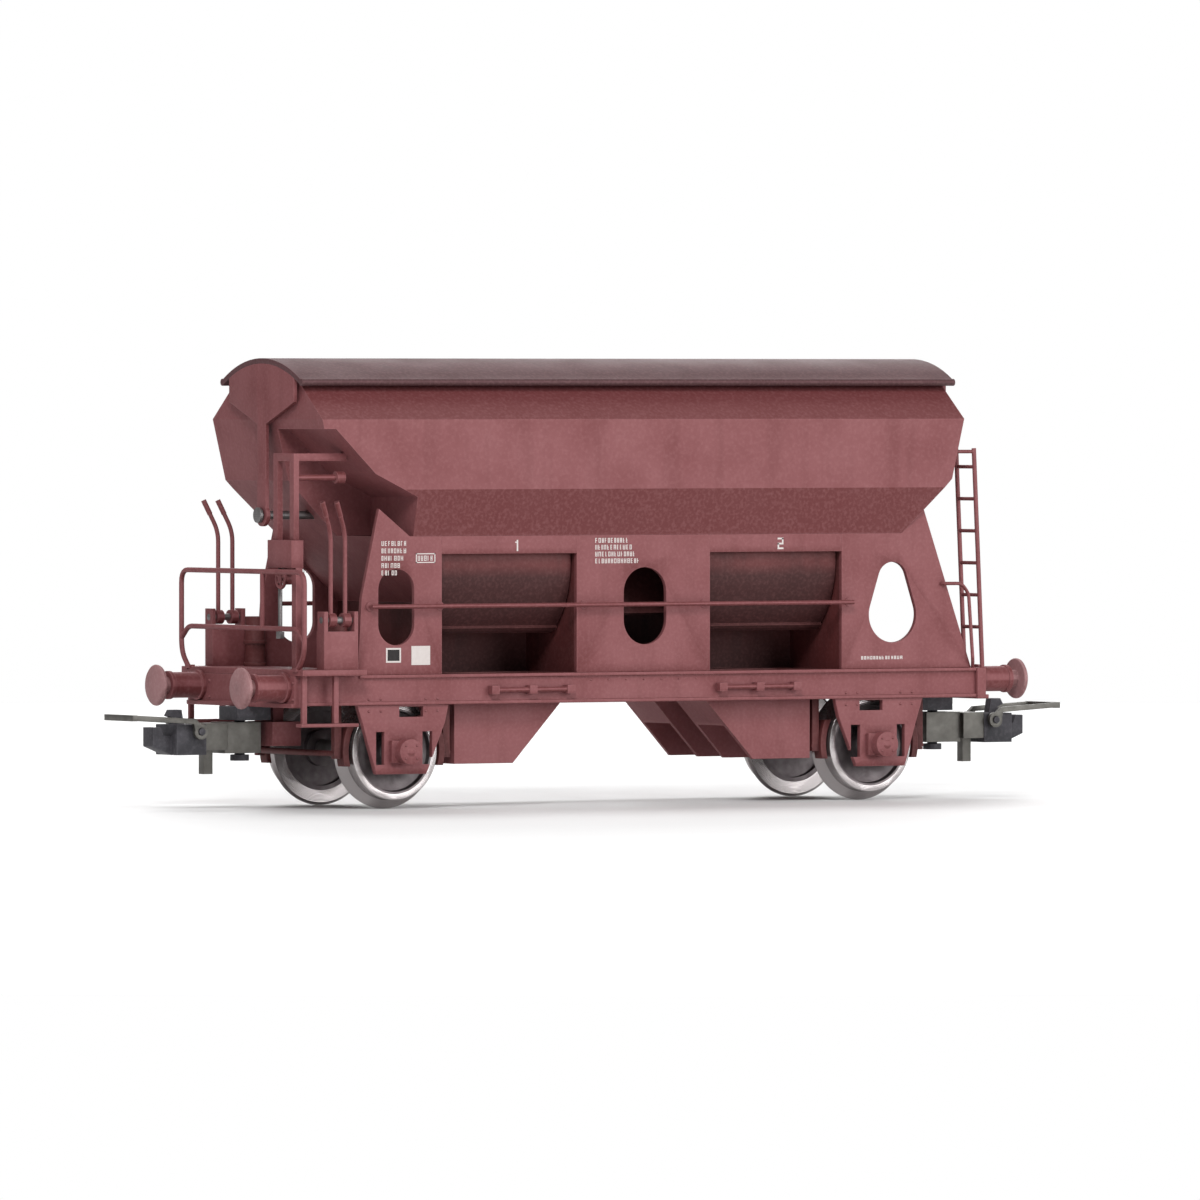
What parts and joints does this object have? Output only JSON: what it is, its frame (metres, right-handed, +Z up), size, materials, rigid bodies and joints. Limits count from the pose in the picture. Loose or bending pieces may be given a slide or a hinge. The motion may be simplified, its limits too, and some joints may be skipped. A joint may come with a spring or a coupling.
{
  "type": "hopper car",
  "caption": "Model railway self-discharging hopper car on two axles, with swing roof, discharge gates, lever banks, brake platform and loop couplers",
  "frame": {"origin": "centre of the bounding box at the lowest point of the wheel flanges", "axes": "+X towards the ladder end, +Y to the far side, +Z up"},
  "size_m": [0.127, 0.0294, 0.0522],
  "materials": {
    "oxide_paint": "moulded plastic in flat oxide red paint",
    "roof_paint": "flat brown red paint with light weathering",
    "dark_paint": "flat dark oxide red, sooty",
    "black_plastic": "moulded black plastic",
    "coupler_grey": "blackened metal",
    "wheel_metal": "blackened wheel with bright running tread",
    "axle_steel": "turned steel",
    "bearing_brass": "turned brass",
    "buffer_paint": "flat oxide red, worn lighter on the face"
  },
  "bodies": {
    "chassis": {"hopper_body": "oxide_paint", "load_saddle": "dark_paint", "bulkheads": "dark_paint", "outlet_headers": "oxide_paint", "platform_side_plates": "oxide_paint", "centre_side_plates": "oxide_paint", "ladder_side_plates": "oxide_paint", "side_sills": "oxide_paint", "headstocks": "oxide_paint", "underframe": "dark_paint", "axle_guards": "oxide_paint", "axlebox_covers": "oxide_paint", "bearing_cups": "bearing_brass", "leaf_springs": "dark_paint", "brake_shoes": "dark_paint", "brake_hangers": "dark_paint", "buffer_sleeves": "oxide_paint", "buffer_heads": "buffer_paint", "coupler_pivots": "black_plastic", "gate_shafts": "axle_steel", "chutes_1": "oxide_paint", "chutes_2": "oxide_paint", "lever_shafts": "axle_steel", "lever_boxes": "oxide_paint", "platform_floor": "oxide_paint", "platform_railing": "oxide_paint", "air_cylinders": "dark_paint", "brake_column": "oxide_paint", "brake_gearbox": "oxide_paint", "brake_spindle": "axle_steel", "end_ladder": "oxide_paint", "gate_rods": "oxide_paint", "platform_steps": "oxide_paint", "side_grab_rods": "oxide_paint", "valve_box": "oxide_paint", "roof_pivots": "axle_steel", "ballast_weight": "axle_steel", "body_screws": "axle_steel"},
    "platform_wheelset": {"platform_axle": "axle_steel", "platform_wheels": "wheel_metal"},
    "ladder_wheelset": {"ladder_axle": "axle_steel", "ladder_wheels": "wheel_metal"},
    "roof": {"roof_sheet": "roof_paint", "platform_roof_arm": "oxide_paint", "ladder_roof_arm": "oxide_paint"},
    "near_gate_1": {"gate_1_near": "dark_paint"},
    "far_gate_1": {"gate_1_far": "dark_paint"},
    "near_gate_2": {"gate_2_near": "dark_paint"},
    "far_gate_2": {"gate_2_far": "dark_paint"},
    "near_lever_1": {"lever_1_near": "oxide_paint"},
    "near_lever_2": {"lever_2_near": "oxide_paint"},
    "far_lever_1": {"lever_1_far": "oxide_paint"},
    "far_lever_2": {"lever_2_far": "oxide_paint"},
    "handwheel": {"brake_handwheel": "oxide_paint"},
    "platform_coupler": {"platform_coupler_shank": "coupler_grey", "platform_coupler_head": "black_plastic"},
    "ladder_coupler": {"ladder_coupler_shank": "coupler_grey", "ladder_coupler_head": "black_plastic"},
    "platform_bow": {"platform_coupler_bow": "coupler_grey"},
    "ladder_bow": {"ladder_coupler_bow": "coupler_grey"}
  },
  "joints": [
    {"name": "platform_wheelset_roll", "type": "hinge", "parent": "chassis", "child": "platform_wheelset", "pos_m": [-0.0325, 0, 0.0067], "axis": [0, 1, 0], "continuous": true},
    {"name": "ladder_wheelset_roll", "type": "hinge", "parent": "chassis", "child": "ladder_wheelset", "pos_m": [0.0325, 0, 0.0067], "axis": [0, 1, 0], "continuous": true},
    {"name": "roof_swing", "type": "hinge", "parent": "chassis", "child": "roof", "pos_m": [0, 0, 0.034], "axis": [-1, 0, 0], "range_deg": [0, 54]},
    {"name": "near_lever_1_pull", "type": "hinge", "parent": "chassis", "child": "near_lever_1", "pos_m": [-0.0429, -0.0132, 0.022], "axis": [-1, 0, 0], "range_deg": [0, 30]},
    {"name": "near_lever_2_pull", "type": "hinge", "parent": "chassis", "child": "near_lever_2", "pos_m": [-0.041, -0.0132, 0.022], "axis": [-1, 0, 0], "range_deg": [0, 30]},
    {"name": "far_lever_1_pull", "type": "hinge", "parent": "chassis", "child": "far_lever_1", "pos_m": [-0.0429, 0.0132, 0.022], "axis": [1, 0, 0], "range_deg": [0, 30]},
    {"name": "far_lever_2_pull", "type": "hinge", "parent": "chassis", "child": "far_lever_2", "pos_m": [-0.041, 0.0132, 0.022], "axis": [1, 0, 0], "range_deg": [0, 30]},
    {"name": "near_gate_1_turn", "type": "hinge", "parent": "chassis", "child": "near_gate_1", "pos_m": [-0.0182, -0.0011, 0.0284], "axis": [1, 0, 0], "range_deg": [0, 36]},
    {"name": "near_gate_2_turn", "type": "hinge", "parent": "chassis", "child": "near_gate_2", "pos_m": [0.0182, -0.0011, 0.0284], "axis": [1, 0, 0], "range_deg": [0, 36]},
    {"name": "far_gate_1_turn", "type": "hinge", "parent": "chassis", "child": "far_gate_1", "pos_m": [-0.0182, 0.0011, 0.0284], "axis": [-1, 0, 0], "range_deg": [0, 36]},
    {"name": "far_gate_2_turn", "type": "hinge", "parent": "chassis", "child": "far_gate_2", "pos_m": [0.0182, 0.0011, 0.0284], "axis": [-1, 0, 0], "range_deg": [0, 36]},
    {"name": "handwheel_turn", "type": "hinge", "parent": "chassis", "child": "handwheel", "pos_m": [-0.0463, -0.0076, 0.0267], "axis": [1, 0, 0], "continuous": true},
    {"name": "platform_coupler_swing", "type": "hinge", "parent": "chassis", "child": "platform_coupler", "pos_m": [-0.0475, 0, 0.008], "axis": [0, 0, 1], "range_deg": [-12, 12]},
    {"name": "platform_bow_lift", "type": "hinge", "parent": "platform_coupler", "child": "platform_bow", "pos_m": [-0.0544, 0, 0.0091], "axis": [0, 1, 0], "range_deg": [0, 10]},
    {"name": "ladder_coupler_swing", "type": "hinge", "parent": "chassis", "child": "ladder_coupler", "pos_m": [0.0475, 0, 0.008], "axis": [0, 0, 1], "range_deg": [-12, 12]},
    {"name": "ladder_bow_lift", "type": "hinge", "parent": "ladder_coupler", "child": "ladder_bow", "pos_m": [0.0544, 0, 0.0091], "axis": [0, -1, 0], "range_deg": [0, 10]}
  ],
  "couplings": [
    {"joint": "near_gate_1_turn", "follows": "near_lever_1_pull", "ratio": 1.2},
    {"joint": "near_gate_2_turn", "follows": "near_lever_2_pull", "ratio": 1.2},
    {"joint": "far_gate_1_turn", "follows": "far_lever_1_pull", "ratio": 1.2},
    {"joint": "far_gate_2_turn", "follows": "far_lever_2_pull", "ratio": 1.2}
  ]
}
